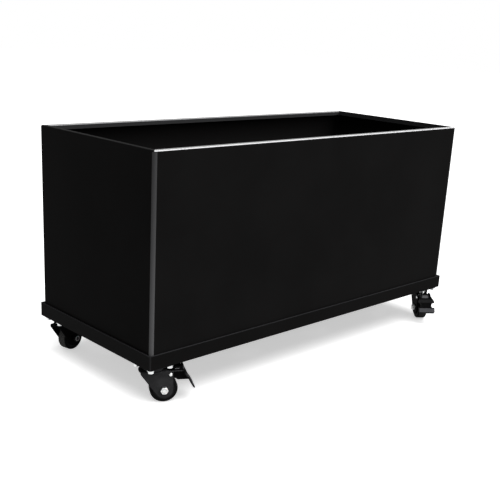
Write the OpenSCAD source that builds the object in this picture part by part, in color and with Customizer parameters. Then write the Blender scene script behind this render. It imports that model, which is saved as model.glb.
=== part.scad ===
// Rolling planter. A folded sheet-metal box stands in a tray of angle rails, and
// the tray rolls on four swivel casters. The two front casters have foot brakes.
// +X runs along the length, -Y is the front and +Z is up. The floor is z = 0, and
// the origin lies under the middle of the box. All sizes are in millimetres.

/* [Planter box] */
// Length of the box, outside
box_l = 914; // [700:1:1200]
// Width of the box, outside
box_w = 374; // [300:1:500]
// Height of the box
box_h = 400; // [250:1:600]
// Thickness of the wall sheet
sheet_t = 1.5; // [1:0.1:2]
// Outside radius of the upright corner bends
corner_r = 7; // [5:0.5:10]
// Outside radius of the bend from wall to rim
rim_bend_r = 3; // [2.5:0.1:4]
// How far the rim reaches in over the box
rim_w = 13; // [12:1:30]
// Outside radius of the bend from rim to lip
lip_bend_r = 2.5; // [2.2:0.1:4]
// How far the lip hangs below the top of the rim
lip_drop = 10; // [6:1:25]

/* [Floor pan] */
// Thickness of the pan
pan_t = 1.5; // [1:0.1:3]
// Height of the pan's turned-up edge
pan_edge = 18; // [8:1:40]
// Gap between the pan's edge and the walls
pan_gap = 0.2; // [0.1:0.1:0.8]
// Diameter of a drain hole
drain_d = 12; // [6:1:20]
// Drain holes along the length
drain_cols = 4; // [2:1:6]
// Drain holes across the width
drain_rows = 2; // [1:1:4]

/* [Tray] */
// Height of a rail's upright leg
rail_h = 29; // [20:0.5:50]
// Width of a rail's flat leg
rail_leg = 30; // [26:1:50]
// Thickness of the rails
rail_t = 3; // [2.5:0.5:5]
// Gap between the box and the rails, all round
tray_gap = 1.7; // [1.6:0.1:6]
// Radius inside the angle of a rail
rail_root_r = 1.4; // [0.5:0.1:1.5]
// Rounding along the top of a rail
rail_toe_r = 0.8; // [0.3:0.1:1.2]
// Rounding of the tray's upright corners
tray_corner_r = 2; // [1:0.1:2.4]
// Width of a cross bar
cross_bar_w = 30; // [20:1:60]
// Distance from the middle to a cross bar
cross_bar_x = 230; // [120:1:250]
// Side of a corner gusset
gusset_side = 45; // [42:1:80]
// Size of the corner cut off a gusset
gusset_cut = 15; // [5:1:20]

/* [Casters] */
// Distance from a kingpin to the outer faces of the tray
caster_inset = 34; // [34:1:38]
// Side of a caster plate
plate_side = 60; // [58:1:66]
// Thickness of a caster plate
plate_t = 3; // [2.5:0.1:4]
// Distance between the studs of a plate
stud_spacing = 45; // [43:1:46]
// Diameter of a stud
stud_d = 6; // [6:1:8]
// Height of the swivel bearing, from fork to plate
race_h = 11; // [10.5:0.1:14]
// Outside radius of the swivel bearing
race_r = 20; // [19:0.5:21]
// Diameter of a bearing ball
ball_d = 4; // [3:0.1:4]
// Balls in a bearing
ball_count = 16; // [10:1:18]
// Diameter of the kingpin
kingpin_d = 10; // [8:0.5:11]
// Diameter of a wheel
wheel_d = 54; // [48:1:66]
// Width of a wheel
wheel_w = 22; // [20:1:28]
// How far a wheel trails behind its kingpin
trail = 20; // [18:1:24]
// Gap between a wheel and the fork over it
wheel_clear = 8.8; // [8:0.1:12]
// Gap between a wheel and a fork leg
wheel_side_gap = 1.5; // [1:0.1:3]
// Thickness of the fork's steel
fork_t = 2.2; // [2:0.1:2.6]
// Outside radius of the fork's shoulders
fork_bend_r = 3.2; // [3:0.1:3.4]
// Radius of the fork's nose, seen from above
fork_nose_r = 28; // [26:0.5:30]
// Radius of a fork leg's lower end
leg_r = 17; // [14:0.5:18]
// Diameter of an axle bolt
axle_d = 8; // [6:1:9]

/* [Brakes] */
// Width of a brake pedal
pedal_w = 40; // [36:1:44]
// Thickness of a pedal's walls
pedal_t = 2.5; // [2:0.1:3]
// Distance from the axle back to the pedal's pivot
pivot_back = 12; // [11:0.5:13]
// Height of the pivot above the wheel
pivot_rise = 3.5; // [3.2:0.1:3.8]
// Distance from the pivot to the pedal's toe
toe_reach = 47; // [42:0.5:52]
// Angle that the pedal turns to lock the wheel
brake_turn = 14; // [8:1:15]

/* [Direction of each wheel] */
// Front left wheel, degrees from +X
front_left_turn = -30; // [-180:1:180]
// Front right wheel, degrees from +X
front_right_turn = -128; // [-180:1:180]
// Back left wheel, degrees from +X
back_left_turn = 14; // [-180:1:180]
// Back right wheel, degrees from +X
back_right_turn = 166; // [-180:1:180]

/* [Hidden] */
$fn = 64;
CORNERS = ["front_left", "front_right", "back_left", "back_right"];
CORNER_X = [-1, 1, -1, 1];
CORNER_Y = [-1, -1, 1, 1];
TURNS = [front_left_turn, front_right_turn, back_left_turn, back_right_turn];
BRAKED = [0, 1];
BOX_NODES = ["planter_walls", "floor_pan"];
TRAY_NODES = [
    "front_rail", "back_rail", "left_rail", "right_rail",
    "corner_gussets", "cross_bars", "plate_studs", "plate_washers", "plate_nuts"
];
CASTER_NODES = [
    "plate", "kingpin", "balls", "fork", "axle_bolt", "axle_nut", "axle_sleeve",
    "wheel_core", "tyre"
];
BRAKE_NODES = ["pedal", "brake_shoe", "pedal_rivet", "brake_spring"];

// Clearances: between pieces that stay together, and round a turning shaft
seat = 0.05;
running = 0.07;
cut = 1; // how far a cutting shape runs past what it cuts

// Heights, from the floor up
axle_z = wheel_d / 2;
fork_under = wheel_d + wheel_clear;
fork_top = fork_under + fork_t;
plate_under = fork_top + race_h;
caster_h = plate_under + plate_t;
shelf_z = caster_h + rail_t;
box_top = shelf_z + box_h;

// The tray's outside, and the kingpins' places
tray_l = box_l + 2 * (tray_gap + rail_t);
tray_w = box_w + 2 * (tray_gap + rail_t);
kingpin_x = tray_l / 2 - caster_inset;
kingpin_y = tray_w / 2 - caster_inset;

// Fasteners
washer_t = 1.2;
washer_r = 7.1;
stud_nut_h = 5.5;
stud_nut_af = 10;
axle_nut_h = 6.5;
axle_nut_af = 13;
stud_proud = 1;
bolt_head_h = 5.3;
rivet_r = 2.5;
rivet_head_r = 3.4;
rivet_head_h = 1.6;

// Swivel bearing
dish_depth = 3; // how far the plate's middle is pressed down
dish_r = 12;
plate_corner_r = 6;
cup_t = 2.4;
cup_lap = 2; // gap between the cup's lower edge and the fork
ball_ring_r = race_r - cup_t - 0.4 - ball_d / 2;
ball_z = plate_under - dish_depth - seat - ball_d / 2;
kingpin_head_r = 9;
kingpin_tail_r = 8;
kingpin_tail_h = 2.2;

// Fork and wheel
fork_in = wheel_w / 2 + wheel_side_gap;
fork_out = fork_in + fork_t;
web_end = trail + pivot_back - 5.4; // the fork's roof stops before the pedal
tyre_depth = 6;
rim_depth = 2.5;
hub_r = 9.5;
sleeve_r = axle_d / 2 + 2;
disc_t = 4; // the thin disc between hub and rim
rib_count = 6;
rib_t = 2;

// Brake: the pedal is drawn round its own pivot
pivot_x = trail + pivot_back;
pivot_z = wheel_d + pivot_rise;
tyre_end = wheel_d / 2 - pivot_back; // where the tyre ends, out from the pivot
horn = [tyre_end + 10, 17];
toe = [toe_reach, -27];
boss_r = 5;
cheek_out = fork_in - 0.4;
cheek_low = -11.5;
cheek_top = 15;
// Outlines of a cheek and of the bridge between the cheeks, measured from the tyre's end
cheek_edge = [
    [-6, cheek_low], [19.4, cheek_low], [12.8, 1], [9.5, 9.5], [5, cheek_top], [-7, cheek_top], [-9, 7]
];
bridge_edge = [[-6.5, 2.7], [-6.5, 5.2], [4, 6], [9.5, 10.5], [12.6, 2], [10, 2], [8.5, 5], [6, 3.4]];
shoe_gap = 0.3; // what is left between shoe and tyre when locked
shoe_t = 4;
shoe_h = 16.4;
shoe_low = -14;
waist_z = -10; // the notch between the pedal's ear and its foot plate
waist_h = 11;
toe_chamfer = 3;
ear_top = 0.3; // half its width, as a share of half the pedal's
grip_ribs = [0.84, 0.88, 0.92, 0.96]; // places along the face's curve
grip_r = 0.6;
grip_margin = 4;
spring_t = 1;
spring_w = 2 * fork_in - 3;

// Points on a cubic curve through four handles
function bezier(p, t) =
    p[0] * pow(1 - t, 3) + 3 * p[1] * t * pow(1 - t, 2)
    + 3 * p[2] * t * t * (1 - t) + p[3] * pow(t, 3);
function curve(p, n) = [for (i = [0:n]) bezier(p, i / n)];
function reversed(list) = [for (i = [len(list) - 1:-1:0]) list[i]];

// Where a line from a point touches a circle, on the circle's lower left
function touch_point(from, centre, r) =
    let (d = norm(from - centre), a = atan2(from[1] - centre[1], from[0] - centre[0]))
    centre + r * [cos(a + acos(r / d)), sin(a + acos(r / d))];

// The pedal's face, outside and inside
face_out = [horn, horn + [3.5, -12], toe - [12.4, -21.5], toe];
face_in = [for (i = [0:3]) face_out[i] - [[3.2, 1], [3.2, 1], [2.8, 2], [2.4, 1.4]][i]];

// ---- Outlines ----

module rounded_plan(l, w, r) {
    square([l - 2 * r, w], center = true);
    square([l, w - 2 * r], center = true);
    for (x = [-1, 1], y = [-1, 1])
        translate([x * (l / 2 - r), y * (w / 2 - r)]) circle(r);
}

// What a rounding of radius r takes off a corner at the origin
module corner_waste(r) {
    difference() {
        translate([-cut, -cut]) square(r + cut);
        translate([r, r]) circle(r);
    }
}

// An arch open at the bottom, with rounded shoulders
module arch(half, bottom, top, r) {
    translate([-half, bottom]) square([2 * half, top - r - bottom]);
    translate([-half + r, bottom]) square([2 * (half - r), top - bottom]);
    for (x = [-1, 1]) translate([x * (half - r), top - r]) circle(r);
}

// ---- Placing ----

// Extrudes an outline that stands in X and Z, to both sides of y = 0
module across(width) {
    rotate([90, 0, 0]) linear_extrude(width, center = true) children();
}

// Repeats a section, drawn outwards and up, along the four sides of a rectangle
module round_four_sides(l, w, length_l, length_w) {
    for (turn = [0, 180]) {
        rotate([0, 0, turn]) translate([l / 2, 0, 0]) across(length_w) children();
        rotate([0, 0, turn + 90]) translate([w / 2, 0, 0]) across(length_l) children();
    }
}

module at_kingpin(i) {
    translate([CORNER_X[i] * kingpin_x, CORNER_Y[i] * kingpin_y, 0]) children();
}

module at_caster(i) {
    at_kingpin(i) rotate([0, 0, TURNS[i]]) children();
}

module at_studs(i) {
    at_kingpin(i)
        for (x = [-1, 1], y = [-1, 1])
            translate([x * stud_spacing / 2, y * stud_spacing / 2, 0]) children();
}

module all_studs() {
    for (i = [0:3]) at_studs(i) children();
}

module at_axle() {
    translate([trail, 0, axle_z]) rotate([90, 0, 0]) children();
}

module at_pivot() {
    translate([pivot_x, 0, pivot_z]) children();
}

// ---- Fasteners ----

module hexagon(af, h) {
    tip = af / 2 / cos(30);
    flat = af * 0.47;
    bevel = (tip - flat) * tan(30);
    intersection() {
        cylinder(h, r = tip, $fn = 6);
        rotate_extrude()
            polygon([[0, 0], [flat, 0], [tip, bevel], [tip, h - bevel], [flat, h], [0, h]]);
    }
}

module hex_nut(af, h, d) {
    difference() {
        hexagon(af, h);
        translate([0, 0, -cut]) cylinder(h + 2 * cut, d = d + 2 * seat);
    }
}

// ---- Planter box ----

// A block with rounded upright corners and a rounded top edge, standing on z = 0
module soft_block(l, w, h, plan_r, edge_r) {
    ring_r = plan_r - edge_r;
    linear_extrude(h - edge_r) rounded_plan(l, w, plan_r);
    linear_extrude(h) rounded_plan(l - 2 * edge_r, w - 2 * edge_r, ring_r);
    translate([0, 0, h - edge_r]) {
        round_four_sides(l - 2 * edge_r, w - 2 * edge_r, l - 2 * plan_r, w - 2 * plan_r) circle(edge_r);
        for (c = [[1, 1, 0], [-1, 1, 90], [-1, -1, 180], [1, -1, 270]])
            translate([c[0] * (l / 2 - plan_r), c[1] * (w / 2 - plan_r), 0])
                rotate([0, 0, c[2]])
                    rotate_extrude(angle = 90)
                        translate([ring_r, 0]) circle(edge_r);
    }
}

// An upright slot below y = 0 whose sides flare outwards at its mouth
module flared_slot(half, depth, flare_r) {
    difference() {
        union() {
            translate([-half, -depth]) square([2 * half, depth + cut]);
            translate([-half - flare_r, -flare_r]) square([2 * (half + flare_r), flare_r + cut]);
        }
        for (x = [-1, 1]) translate([x * (half + flare_r), -flare_r]) circle(flare_r);
    }
}

// What the rim leaves open: a rectangle set in from the box's outside, its flares mitred
module rim_opening(inset, depth, flare_r) {
    intersection() {
        across(box_w) flared_slot(box_l / 2 - inset, depth, flare_r);
        rotate([0, 0, 90]) across(box_l) flared_slot(box_w / 2 - inset, depth, flare_r);
    }
}

// The walls, with the rim folded inwards and the lip folded down from it
module planter_walls() {
    color([0.09, 0.09, 0.09])
        difference() {
            translate([0, 0, shelf_z]) soft_block(box_l, box_w, box_h, corner_r, rim_bend_r);
            difference() {
                translate([0, 0, shelf_z - cut])
                    soft_block(
                        box_l - 2 * sheet_t, box_w - 2 * sheet_t, box_h - sheet_t + cut,
                        corner_r - sheet_t, rim_bend_r - sheet_t
                    );
                translate([0, 0, box_top - sheet_t])
                    rim_opening(rim_w - sheet_t, lip_drop - sheet_t, lip_bend_r - sheet_t);
            }
            translate([0, 0, box_top]) rim_opening(rim_w, lip_drop + cut, lip_bend_r);
        }
}

module floor_pan() {
    margin = sheet_t + pan_gap;
    pan_r = corner_r - margin;
    color([0.08, 0.08, 0.08])
        translate([0, 0, shelf_z])
            difference() {
                linear_extrude(pan_edge) rounded_plan(box_l - 2 * margin, box_w - 2 * margin, pan_r);
                translate([0, 0, pan_t])
                    linear_extrude(pan_edge)
                        rounded_plan(
                            box_l - 2 * (margin + pan_t), box_w - 2 * (margin + pan_t), pan_r - pan_t
                        );
                for (i = [0:drain_cols - 1], j = [0:drain_rows - 1])
                    translate([
                        box_l * ((i + 0.5) / drain_cols - 0.5),
                        box_w * ((j + 0.5) / drain_rows - 0.5),
                        -cut
                    ])
                        cylinder(pan_t + 2 * cut, d = drain_d);
            }
}

// ---- Tray ----

// A rail's upright leg: outwards is +X, up is +Y, and the outer face is x = 0
module upright_section() {
    difference() {
        translate([-rail_t, 0]) square([rail_t, rail_h]);
        translate([0, rail_h]) rotate(180) corner_waste(rail_toe_r);
        translate([-rail_t, rail_h]) rotate(270) corner_waste(rail_toe_r);
    }
}

// A rail's flat leg, with the radius inside the angle
module flat_section() {
    translate([-rail_leg, 0]) square([rail_leg - rail_t, rail_t]);
    translate([-rail_t - rail_root_r, rail_t - seat])
        difference() {
            square([rail_root_r, rail_root_r + seat]);
            translate([0, rail_root_r + seat]) circle(rail_root_r);
        }
}

// One rail along the side at x = half: the upright is mitred, the flat leg is cut square
module rail(half, length, flat_length) {
    reach = rail_t + cut;
    translate([0, 0, caster_h]) {
        intersection() {
            translate([half, 0, 0]) across(length) upright_section();
            translate([0, 0, -cut])
                linear_extrude(rail_h + 2 * cut)
                    polygon([
                        [half, -length / 2], [half, length / 2],
                        [half - reach, length / 2 - reach], [half - reach, reach - length / 2]
                    ]);
        }
        translate([half, 0, 0]) across(flat_length) flat_section();
    }
}

// A rail set on its side of the tray, with its corners rounded and its stud holes drilled
module drilled_rail(turn, half, length, flat_length) {
    color([0.07, 0.07, 0.07])
        difference() {
            intersection() {
                rotate([0, 0, turn]) rail(half, length, flat_length);
                translate([0, 0, caster_h - cut])
                    linear_extrude(rail_h + 2 * cut) rounded_plan(tray_l, tray_w, tray_corner_r);
            }
            stud_holes();
        }
}

module long_rail(turn) {
    drilled_rail(turn, tray_w / 2, tray_l, tray_l - 2 * rail_t);
}

module end_rail(turn) {
    drilled_rail(turn, tray_l / 2, tray_w, tray_w - 2 * rail_leg);
}

module stud_holes() {
    all_studs() translate([0, 0, caster_h - cut]) cylinder(rail_t + 2 * cut, d = stud_d + 2 * seat);
}

module corner_gussets() {
    uncut = gusset_side - gusset_cut;
    outline = [[0, 0], [gusset_side, 0], [gusset_side, uncut], [uncut, gusset_side], [0, gusset_side]];
    color([0.07, 0.07, 0.07])
        difference() {
            for (i = [0:3])
                translate([
                    CORNER_X[i] * (tray_l / 2 - rail_leg), CORNER_Y[i] * (tray_w / 2 - rail_leg), caster_h
                ])
                    linear_extrude(rail_t)
                        polygon([for (p = outline) [-CORNER_X[i] * p[0], -CORNER_Y[i] * p[1]]]);
            stud_holes();
        }
}

module cross_bars() {
    color([0.07, 0.07, 0.07])
        for (x = [-1, 1])
            translate([x * cross_bar_x, 0, caster_h + rail_t / 2])
                cube([cross_bar_w, tray_w - 2 * rail_leg, rail_t], center = true);
}

// Studs set flush into the rails and gussets, with their nuts below the plates
module plate_studs() {
    low = plate_under - washer_t - stud_nut_h - stud_proud;
    color([0.75, 0.76, 0.78])
        all_studs()
            rotate_extrude()
                polygon([
                    [0, low], [stud_d / 2 - stud_proud, low], [stud_d / 2, low + stud_proud],
                    [stud_d / 2, shelf_z], [0, shelf_z]
                ]);
}

module plate_washers() {
    color([0.75, 0.76, 0.78])
        all_studs()
            translate([0, 0, plate_under - washer_t])
                difference() {
                    cylinder(washer_t, r = washer_r);
                    translate([0, 0, -cut]) cylinder(washer_t + 2 * cut, d = stud_d + 0.4);
                }
}

module plate_nuts() {
    color([0.75, 0.76, 0.78])
        all_studs()
            translate([0, 0, plate_under - washer_t - stud_nut_h])
                hex_nut(stud_nut_af, stud_nut_h, stud_d);
}

// ---- Caster: plate, bearing and kingpin ----

// The plate stays square to the tray. Its middle is dished, and a cup covers the balls.
module caster_plate(i) {
    color([0.1, 0.1, 0.1])
        difference() {
            union() {
                at_kingpin(i) {
                    translate([0, 0, plate_under])
                        linear_extrude(plate_t) rounded_plan(plate_side, plate_side, plate_corner_r);
                    translate([0, 0, plate_under - dish_depth]) cylinder(dish_depth, r = race_r);
                    translate([0, 0, fork_top + cup_lap])
                        cylinder(race_h - cup_lap, r = race_r);
                }
            }
            at_kingpin(i) {
                translate([0, 0, plate_under + plate_t - dish_depth])
                    cylinder(dish_depth + cut, r = dish_r);
                translate([0, 0, fork_top])
                    cylinder(race_h - dish_depth, r = race_r - cup_t);
                cylinder(caster_h, d = kingpin_d + 2 * seat);
            }
            at_studs(i) translate([0, 0, plate_under - cut]) cylinder(plate_t + 2 * cut, d = stud_d + 0.5);
        }
}

module kingpin(i) {
    head_z = plate_under + plate_t - dish_depth + seat;
    tail_z = fork_under - seat;
    pin_r = kingpin_d / 2;
    color([0.72, 0.73, 0.75])
        at_kingpin(i)
            rotate_extrude()
                polygon([
                    [0, tail_z - kingpin_tail_h], [kingpin_tail_r - 2, tail_z - kingpin_tail_h],
                    [kingpin_tail_r, tail_z], [pin_r, tail_z], [pin_r, head_z],
                    [kingpin_head_r, head_z], [kingpin_head_r - 2, head_z + dish_depth - 0.6],
                    [0, head_z + dish_depth - 0.6]
                ]);
}

module balls(i) {
    color([0.8, 0.81, 0.83])
        at_caster(i)
            for (k = [0:ball_count - 1])
                rotate([0, 0, k * 360 / ball_count])
                    translate([ball_ring_r, 0, ball_z]) sphere(d = ball_d, $fn = 24);
}

// ---- Caster: fork ----

module fork_side() {
    axle = [trail, axle_z];
    brow = [-fork_nose_r, fork_top - fork_t / 2];
    translate(axle) circle(leg_r);
    polygon([
        [-fork_nose_r, fork_top + cut], [trail + leg_r, fork_top + cut], [trail + leg_r, axle_z],
        axle, touch_point(brow, axle, leg_r), brow
    ]);
}

module fork_shell() {
    intersection() {
        rotate([90, 0, 90])
            translate([0, 0, -fork_nose_r - cut])
                linear_extrude(fork_nose_r + trail + leg_r + 2 * cut)
                    difference() {
                        arch(fork_out, 0, fork_top, fork_bend_r);
                        arch(fork_in, -cut, fork_under, fork_bend_r - fork_t);
                    }
        across(4 * fork_out) fork_side();
        linear_extrude(fork_top + cut) {
            circle(fork_nose_r);
            translate([0, -2 * fork_out]) square([trail + leg_r + cut, 4 * fork_out]);
        }
    }
}

// The lower race: a floor under the balls, and a collar inside them
module lower_race() {
    floor_z = ball_z - ball_d / 2 - seat;
    collar_r = ball_ring_r - ball_d / 2 - 0.3;
    translate([0, 0, fork_under]) cylinder(floor_z - fork_under, r = race_r - cup_t - 0.4);
    translate([0, 0, fork_under]) cylinder(ball_z - fork_under, r = collar_r);
}

module fork(i) {
    braked = len(search(i, BRAKED)) > 0;
    color([0.1, 0.1, 0.11])
        at_caster(i)
            difference() {
                union() {
                    fork_shell();
                    translate([0, 0, fork_under]) cylinder(fork_t, r = race_r);
                    lower_race();
                }
                cylinder(caster_h, d = kingpin_d + 2 * running);
                translate([web_end, -fork_in, fork_under - fork_bend_r])
                    cube([trail + leg_r, 2 * fork_in, fork_bend_r + fork_t + cut]);
                at_axle() cylinder(4 * fork_out, d = axle_d + 2 * seat, center = true);
                if (braked)
                    at_pivot() rotate([90, 0, 0]) cylinder(4 * fork_out, r = rivet_r + seat, center = true);
            }
}

// ---- Caster: wheel and axle ----

module axle_bolt(i) {
    shank = 2 * fork_out + axle_nut_h + stud_proud;
    color([0.75, 0.76, 0.78])
        at_caster(i)
            at_axle() {
                translate([0, 0, -fork_out]) cylinder(shank, d = axle_d);
                translate([0, 0, -fork_out - bolt_head_h]) hexagon(axle_nut_af, bolt_head_h);
            }
}

module axle_nut(i) {
    color([0.8, 0.81, 0.83])
        at_caster(i)
            at_axle() translate([0, 0, fork_out]) hex_nut(axle_nut_af, axle_nut_h, axle_d);
}

module axle_sleeve(i) {
    color([0.7, 0.71, 0.73])
        at_caster(i)
            at_axle()
                difference() {
                    cylinder(2 * (fork_in - seat), r = sleeve_r, center = true);
                    cylinder(2 * (fork_in + cut), d = axle_d + 2 * seat, center = true);
                }
}

module wheel_core(i) {
    disc_r = wheel_d / 2 - tyre_depth - rim_depth;
    color([0.14, 0.14, 0.15])
        at_caster(i)
            at_axle()
                difference() {
                    union() {
                        rotate_extrude() {
                            translate([disc_r, -wheel_w / 2 + 1]) square([rim_depth, wheel_w - 2]);
                            translate([sleeve_r, -disc_t / 2]) square([disc_r - sleeve_r, disc_t]);
                        }
                        cylinder(2 * fork_in - 0.6, r = hub_r, center = true);
                        for (k = [0:rib_count - 1])
                            rotate([0, 0, k * 360 / rib_count])
                                translate([(hub_r + disc_r) / 2, 0, 0])
                                    cube([disc_r - hub_r + rib_t / 2, rib_t, wheel_w - 7], center = true);
                    }
                    cylinder(2 * fork_in + cut, r = sleeve_r + running, center = true);
                }
}

module tyre(i) {
    outer = wheel_d / 2;
    shoulder = 3.5;
    color([0.05, 0.05, 0.05])
        at_caster(i)
            at_axle()
                rotate_extrude()
                    difference() {
                        translate([outer - tyre_depth, -wheel_w / 2]) square([tyre_depth, wheel_w]);
                        translate([outer, wheel_w / 2]) rotate(180) corner_waste(shoulder);
                        translate([outer, -wheel_w / 2]) rotate(90) corner_waste(shoulder);
                    }
}

// ---- Brake ----

// The outlines below are drawn from the pivot: outwards is +X and up is +Y
function past_tyre(points) = [for (p = points) [tyre_end + p[0], p[1]]];

module pedal_cheek() {
    circle(boss_r);
    polygon(concat([[0, -boss_r]], past_tyre(cheek_edge), [[0, boss_r]]));
}

module pedal_web() {
    polygon(past_tyre(bridge_edge));
}

module pedal_face() {
    polygon(concat(curve(face_out, 14), reversed(curve(face_in, 14))));
}

// The face seen from the front: an ear above, a waist, and the foot's plate below
module pedal_front() {
    half = pedal_w / 2;
    top = horn[1] + cut;
    difference() {
        polygon([
            [-half, toe[1] + toe_chamfer], [toe_chamfer - half, toe[1] - cut],
            [half - toe_chamfer, toe[1] - cut], [half, toe[1] + toe_chamfer],
            [half, 0], [half * ear_top, top], [-half * ear_top, top], [-half, 0]
        ]);
        for (side = [-1, 1])
            translate([side * (cheek_out + waist_h / 2), waist_z]) {
                circle(waist_h / 2);
                translate([side * half / 2, 0]) square([half, waist_h], center = true);
            }
    }
}

// Where the axle lies as the pedal sees it when it is locked
function seen_axle() =
    let (arm = [-pivot_back, axle_z - pivot_z])
    [
        arm[0] * cos(brake_turn) - arm[1] * sin(brake_turn),
        arm[0] * sin(brake_turn) + arm[1] * cos(brake_turn)
    ];

module pedal(i) {
    color([0.08, 0.08, 0.085])
        at_caster(i)
            at_pivot()
                difference() {
                    union() {
                        intersection() {
                            across(pedal_w) pedal_face();
                            rotate([90, 0, 90]) linear_extrude(toe_reach + cut) pedal_front();
                        }
                        across(2 * cheek_out - pedal_t) pedal_web();
                        for (y = [-1, 1])
                            translate([0, y * (cheek_out - pedal_t / 2), 0]) across(pedal_t) pedal_cheek();
                        for (t = grip_ribs)
                            let (p = bezier(face_out, t))
                                translate([p[0], 0, p[1]])
                                    rotate([90, 0, 0]) cylinder(pedal_w - 2 * grip_margin, r = grip_r, center = true);
                    }
                    rotate([90, 0, 0]) cylinder(2 * pedal_w, r = rivet_r + running, center = true);
                    across(2 * pedal_w) translate(seen_axle()) circle(wheel_d / 2 + 2 * shoe_gap);
                }
}

// The shoe's curve is the tyre's, seen from the pedal when it is locked
module brake_shoe(i) {
    color([0.3, 0.3, 0.31])
        at_caster(i)
            at_pivot()
                across(2 * (cheek_out - pedal_t - seat))
                    difference() {
                        translate([tyre_end - shoe_t + 0.1, shoe_low]) square([shoe_t, shoe_h]);
                        translate(seen_axle()) circle(wheel_d / 2 + shoe_gap);
                    }
}

module pedal_rivet(i) {
    half = fork_out + seat;
    color([0.8, 0.81, 0.83])
        at_caster(i)
            at_pivot()
                rotate([90, 0, 0])
                    rotate_extrude()
                        polygon([
                            [0, -half - rivet_head_h], [rivet_r, -half - rivet_head_h],
                            [rivet_head_r, -half - 0.5], [rivet_head_r, -half], [rivet_r, -half],
                            [rivet_r, half], [rivet_head_r, half], [rivet_head_r, half + 0.5],
                            [rivet_r, half + rivet_head_h], [0, half + rivet_head_h]
                        ]);
}

// A leaf under the fork's roof, whose tip bears on the pedal's boss
module brake_spring(i) {
    root = kingpin_tail_r + 1;
    tip = pivot_x - boss_r - 0.3;
    top = fork_under - seat;
    color([0.6, 0.61, 0.63])
        at_caster(i)
            across(spring_w)
                polygon([
                    [root, top], [tip, top], [tip, pivot_z - 2], [tip - spring_t, pivot_z - 2],
                    [tip - spring_t, top - spring_t], [root, top - spring_t]
                ]);
}

// ---- The pieces ----

module caster_piece(i, name) {
    if (name == "plate") caster_plate(i);
    if (name == "kingpin") kingpin(i);
    if (name == "balls") balls(i);
    if (name == "fork") fork(i);
    if (name == "axle_bolt") axle_bolt(i);
    if (name == "axle_nut") axle_nut(i);
    if (name == "axle_sleeve") axle_sleeve(i);
    if (name == "wheel_core") wheel_core(i);
    if (name == "tyre") tyre(i);
    if (name == "pedal") pedal(i);
    if (name == "brake_shoe") brake_shoe(i);
    if (name == "pedal_rivet") pedal_rivet(i);
    if (name == "brake_spring") brake_spring(i);
}

planter_walls();
floor_pan();
long_rail(270);  // front_rail
long_rail(90);  // back_rail
end_rail(180);  // left_rail
end_rail(0);  // right_rail
corner_gussets();
cross_bars();
plate_studs();
plate_washers();
plate_nuts();
for (i = [0:3], name = CASTER_NODES)
    caster_piece(i, name);
for (i = BRAKED, name = BRAKE_NODES)
    caster_piece(i, name);
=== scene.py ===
"""A rolling planter dressed over its CAD frame: coats, metals, rubber, small trim and the studio.

Lengths are in metres in the frame's own axes: +X along the planter, -Y to the front, +Z up and the
floor at z = 0. MM turns millimetres into metres.
"""

from __future__ import annotations

import logging
import math
from dataclasses import dataclass
from enum import Enum
from typing import Callable, Iterable, Sequence, Union

import bpy
from mathutils import Matrix, Vector

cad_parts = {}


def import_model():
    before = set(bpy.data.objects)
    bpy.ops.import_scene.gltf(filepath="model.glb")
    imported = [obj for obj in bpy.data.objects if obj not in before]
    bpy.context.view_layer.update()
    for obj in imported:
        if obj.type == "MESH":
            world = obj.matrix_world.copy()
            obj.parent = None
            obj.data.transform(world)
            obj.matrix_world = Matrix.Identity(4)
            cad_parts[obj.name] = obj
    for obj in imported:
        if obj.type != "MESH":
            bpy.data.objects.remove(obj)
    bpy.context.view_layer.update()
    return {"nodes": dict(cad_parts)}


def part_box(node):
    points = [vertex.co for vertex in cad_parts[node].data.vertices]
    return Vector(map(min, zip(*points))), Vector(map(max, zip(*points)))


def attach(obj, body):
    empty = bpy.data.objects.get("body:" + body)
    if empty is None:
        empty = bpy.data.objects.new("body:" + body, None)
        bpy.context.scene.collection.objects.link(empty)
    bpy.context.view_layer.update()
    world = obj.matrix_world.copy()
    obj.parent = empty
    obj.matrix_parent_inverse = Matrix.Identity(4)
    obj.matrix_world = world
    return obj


LOG = logging.getLogger("planter")
Colour = tuple[float, float, float]
Number = Union["Wire", float]
MM = 0.001
UP = Vector((0.0, 0.0, 1.0))
WHITE = (1.0, 1.0, 1.0)


class Corner(Enum):
    """The four places of a caster, as the frame's node names begin."""

    FRONT_LEFT = "front_left"
    FRONT_RIGHT = "front_right"
    BACK_LEFT = "back_left"
    BACK_RIGHT = "back_right"

    @property
    def braked(self) -> bool:
        """Whether this caster has a foot brake."""
        return self in (Corner.FRONT_LEFT, Corner.FRONT_RIGHT)


# ---- Shader graph ----


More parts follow.
